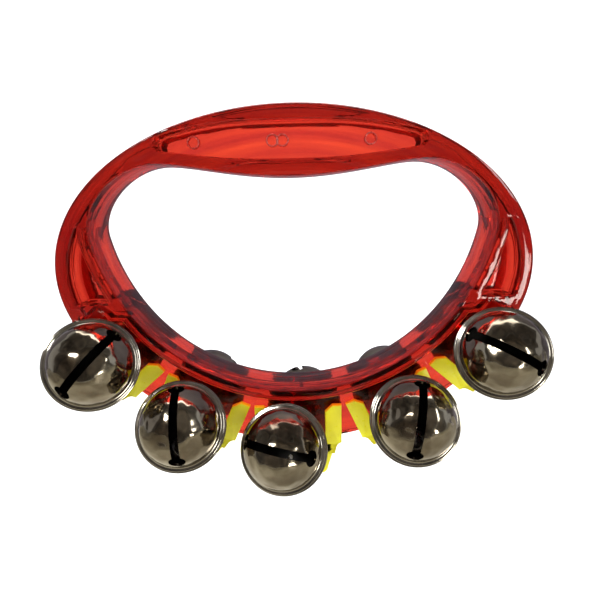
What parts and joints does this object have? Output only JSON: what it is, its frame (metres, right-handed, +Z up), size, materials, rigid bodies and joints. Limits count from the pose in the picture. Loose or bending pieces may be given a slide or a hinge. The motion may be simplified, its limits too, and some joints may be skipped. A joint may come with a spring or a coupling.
{
  "type": "hand-held sleigh bells",
  "caption": "Hand-held sleigh bells: a clear red D-shaped grip frame with jingle bells hooked in front of and behind its curved lower edge by yellow clips.",
  "frame": {"origin": "middle of the grip, on the frame's mid-plane", "axes": "+X right as seen from the front, +Z up with the grip on top, the front faces -Y"},
  "size_m": [0.1432, 0.058, 0.1103],
  "materials": {
    "clear_red": "clear tinted, polished",
    "yellow": "moulded, semi-gloss",
    "nickel": "bright nickel plating",
    "wire": "drawn wire",
    "steel": "plain"
  },
  "bodies": {
    "frame_and_clips": {"frame": "clear_red", "bell_clip_1": "yellow", "bell_clip_2": "yellow", "bell_clip_3": "yellow", "bell_clip_4": "yellow", "bell_clip_5": "yellow"},
    "front_bell_1": {"front_bell_1_dome": "nickel", "front_bell_1_base": "nickel", "front_bell_1_loop": "wire"},
    "front_bell_1_rattle": {"front_bell_1_pellet": "steel"},
    "front_bell_2": {"front_bell_2_dome": "nickel", "front_bell_2_base": "nickel", "front_bell_2_loop": "wire"},
    "front_bell_2_rattle": {"front_bell_2_pellet": "steel"},
    "front_bell_3": {"front_bell_3_dome": "nickel", "front_bell_3_base": "nickel", "front_bell_3_loop": "wire"},
    "front_bell_3_rattle": {"front_bell_3_pellet": "steel"},
    "front_bell_4": {"front_bell_4_dome": "nickel", "front_bell_4_base": "nickel", "front_bell_4_loop": "wire"},
    "front_bell_4_rattle": {"front_bell_4_pellet": "steel"},
    "front_bell_5": {"front_bell_5_dome": "nickel", "front_bell_5_base": "nickel", "front_bell_5_loop": "wire"},
    "front_bell_5_rattle": {"front_bell_5_pellet": "steel"},
    "back_bell_1": {"back_bell_1_dome": "nickel", "back_bell_1_base": "nickel", "back_bell_1_loop": "wire"},
    "back_bell_1_rattle": {"back_bell_1_pellet": "steel"},
    "back_bell_2": {"back_bell_2_dome": "nickel", "back_bell_2_base": "nickel", "back_bell_2_loop": "wire"},
    "back_bell_2_rattle": {"back_bell_2_pellet": "steel"},
    "back_bell_3": {"back_bell_3_dome": "nickel", "back_bell_3_base": "nickel", "back_bell_3_loop": "wire"},
    "back_bell_3_rattle": {"back_bell_3_pellet": "steel"},
    "back_bell_4": {"back_bell_4_dome": "nickel", "back_bell_4_base": "nickel", "back_bell_4_loop": "wire"},
    "back_bell_4_rattle": {"back_bell_4_pellet": "steel"},
    "back_bell_5": {"back_bell_5_dome": "nickel", "back_bell_5_base": "nickel", "back_bell_5_loop": "wire"},
    "back_bell_5_rattle": {"back_bell_5_pellet": "steel"}
  },
  "joints": [
    {"name": "front_bell_1_swing", "type": "hinge", "parent": "frame_and_clips", "child": "front_bell_1", "pos_m": [-0.0598, 0, -0.06512], "axis": [0.6534, 0, -0.757], "range_deg": [0, 60]},
    {"name": "front_bell_1_rattle_slide", "type": "slide", "parent": "front_bell_1", "child": "front_bell_1_rattle", "axis": [0, 0, 1], "range_m": [0, 0.0128]},
    {"name": "front_bell_2_swing", "type": "hinge", "parent": "frame_and_clips", "child": "front_bell_2", "pos_m": [-0.03289, 0, -0.08533], "axis": [0.9092, 0, -0.4163], "range_deg": [0, 60]},
    {"name": "front_bell_2_rattle_slide", "type": "slide", "parent": "front_bell_2", "child": "front_bell_2_rattle", "axis": [0, 0, 1], "range_m": [0, 0.0128]},
    {"name": "front_bell_3_swing", "type": "hinge", "parent": "frame_and_clips", "child": "front_bell_3", "pos_m": [0, 0, -0.0925], "axis": [1, 0, 0], "range_deg": [0, 60]},
    {"name": "front_bell_3_rattle_slide", "type": "slide", "parent": "front_bell_3", "child": "front_bell_3_rattle", "axis": [0, 0, 1], "range_m": [0, 0.0128]},
    {"name": "front_bell_4_swing", "type": "hinge", "parent": "frame_and_clips", "child": "front_bell_4", "pos_m": [0.03289, 0, -0.08533], "axis": [0.9092, 0, 0.4163], "range_deg": [0, 60]},
    {"name": "front_bell_4_rattle_slide", "type": "slide", "parent": "front_bell_4", "child": "front_bell_4_rattle", "axis": [0, 0, 1], "range_m": [0, 0.0128]},
    {"name": "front_bell_5_swing", "type": "hinge", "parent": "frame_and_clips", "child": "front_bell_5", "pos_m": [0.0598, 0, -0.06512], "axis": [0.6534, 0, 0.757], "range_deg": [0, 60]},
    {"name": "front_bell_5_rattle_slide", "type": "slide", "parent": "front_bell_5", "child": "front_bell_5_rattle", "axis": [0, 0, 1], "range_m": [0, 0.0128]},
    {"name": "back_bell_1_swing", "type": "hinge", "parent": "frame_and_clips", "child": "back_bell_1", "pos_m": [-0.0598, 0, -0.06512], "axis": [-0.6534, 0, 0.757], "range_deg": [0, 48]},
    {"name": "back_bell_1_rattle_slide", "type": "slide", "parent": "back_bell_1", "child": "back_bell_1_rattle", "axis": [0, 0, 1], "range_m": [0, 0.0128]},
    {"name": "back_bell_2_swing", "type": "hinge", "parent": "frame_and_clips", "child": "back_bell_2", "pos_m": [-0.03289, 0, -0.08533], "axis": [-0.9092, 0, 0.4163], "range_deg": [0, 60]},
    {"name": "back_bell_2_rattle_slide", "type": "slide", "parent": "back_bell_2", "child": "back_bell_2_rattle", "axis": [0, 0, 1], "range_m": [0, 0.0128]},
    {"name": "back_bell_3_swing", "type": "hinge", "parent": "frame_and_clips", "child": "back_bell_3", "pos_m": [0, 0, -0.0925], "axis": [-1, 0, 0], "range_deg": [0, 60]},
    {"name": "back_bell_3_rattle_slide", "type": "slide", "parent": "back_bell_3", "child": "back_bell_3_rattle", "axis": [0, 0, 1], "range_m": [0, 0.0128]},
    {"name": "back_bell_4_swing", "type": "hinge", "parent": "frame_and_clips", "child": "back_bell_4", "pos_m": [0.03289, 0, -0.08533], "axis": [-0.9092, 0, -0.4163], "range_deg": [0, 60]},
    {"name": "back_bell_4_rattle_slide", "type": "slide", "parent": "back_bell_4", "child": "back_bell_4_rattle", "axis": [0, 0, 1], "range_m": [0, 0.0128]},
    {"name": "back_bell_5_swing", "type": "hinge", "parent": "frame_and_clips", "child": "back_bell_5", "pos_m": [0.0598, 0, -0.06512], "axis": [-0.6534, 0, -0.757], "range_deg": [0, 48]},
    {"name": "back_bell_5_rattle_slide", "type": "slide", "parent": "back_bell_5", "child": "back_bell_5_rattle", "axis": [0, 0, 1], "range_m": [0, 0.0128]}
  ]
}
